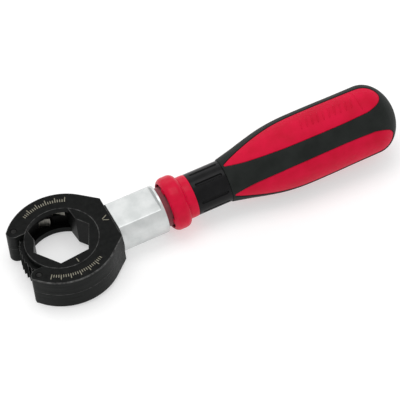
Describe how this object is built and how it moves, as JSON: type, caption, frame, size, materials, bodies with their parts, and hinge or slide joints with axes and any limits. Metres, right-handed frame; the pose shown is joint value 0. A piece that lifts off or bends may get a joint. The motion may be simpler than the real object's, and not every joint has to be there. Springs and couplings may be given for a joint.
{
  "type": "open ratchet ring wrench",
  "caption": "Hand wrench with an open C-shaped head, a rotating hexagon ratchet ring with its own mouth, a short flatted bar and a two-colour screwdriver handle.",
  "frame": {"origin": "centre of the hexagon opening, on the ring's axis at the head's mid-height", "axes": "+X along the handle, +Z along the ring's axis out of the marked face, +Y to the left of the handle's direction"},
  "size_m": [0.2055, 0.057, 0.0366],
  "materials": {
    "head_steel": "black oxide, satin",
    "ring_steel": "black oxide, satin",
    "pawl_steel": "hardened, ground",
    "spring_steel": "spring strip",
    "fastener_steel": "dark oxide",
    "bar_aluminium": "fine turned and milled",
    "tang_steel": "turned",
    "core_red": "glossy",
    "sleeve_black": "glossy",
    "grip_black": "matt soft grip",
    "inlay_red": "satin soft inlay"
  },
  "bodies": {
    "body": {"upper_shell": "head_steel", "lower_shell": "head_steel", "pawl_pins": "fastener_steel", "pawl_spring_1": "spring_steel", "pawl_spring_2": "spring_steel", "pawl_spring_3": "spring_steel", "pawl_spring_4": "spring_steel", "tip_rivets": "fastener_steel", "shell_screws": "fastener_steel", "locating_dowels": "fastener_steel", "head_stud": "tang_steel", "shank_bar": "bar_aluminium", "handle_tang": "tang_steel", "handle_core": "core_red", "neck_sleeve": "sleeve_black", "soft_grip": "grip_black", "inlay_top": "inlay_red", "inlay_left": "inlay_red", "inlay_bottom": "inlay_red", "inlay_right": "inlay_red"},
    "ring": {"ratchet_ring": "ring_steel"},
    "pawl_one": {"pawl_1": "pawl_steel"},
    "pawl_two": {"pawl_2": "pawl_steel"},
    "pawl_three": {"pawl_3": "pawl_steel"},
    "pawl_four": {"pawl_4": "pawl_steel"}
  },
  "joints": [
    {"name": "ring_turn", "type": "hinge", "parent": "body", "child": "ring", "pos_m": [0, 0, 0], "axis": [0, 0, 1], "continuous": true},
    {"name": "pawl_one_swing", "type": "hinge", "parent": "body", "child": "pawl_one", "pos_m": [0.00402, 0.02467, 0], "axis": [0, 0, 1], "range_deg": [0, 5.4], "stiffness_Nm_per_rad": 0.02, "springref_deg": -16.56, "deforming": ["pawl_spring_1"]},
    {"name": "pawl_two_swing", "type": "hinge", "parent": "body", "child": "pawl_two", "pos_m": [-0.00493, 0.02451, 0], "axis": [0, 0, 1], "range_deg": [0, 7.5], "stiffness_Nm_per_rad": 0.02, "springref_deg": -14.5, "deforming": ["pawl_spring_2"]},
    {"name": "pawl_three_swing", "type": "hinge", "parent": "body", "child": "pawl_three", "pos_m": [0.0159, -0.01929, 0], "axis": [0, 0, 1], "range_deg": [0, 10.5], "stiffness_Nm_per_rad": 0.02, "springref_deg": -11.46, "deforming": ["pawl_spring_3"]},
    {"name": "pawl_four_swing", "type": "hinge", "parent": "body", "child": "pawl_four", "pos_m": [0.00652, -0.02413, 0], "axis": [0, 0, 1], "range_deg": [0, 3.3], "stiffness_Nm_per_rad": 0.02, "springref_deg": -18.68, "deforming": ["pawl_spring_4"]}
  ]
}
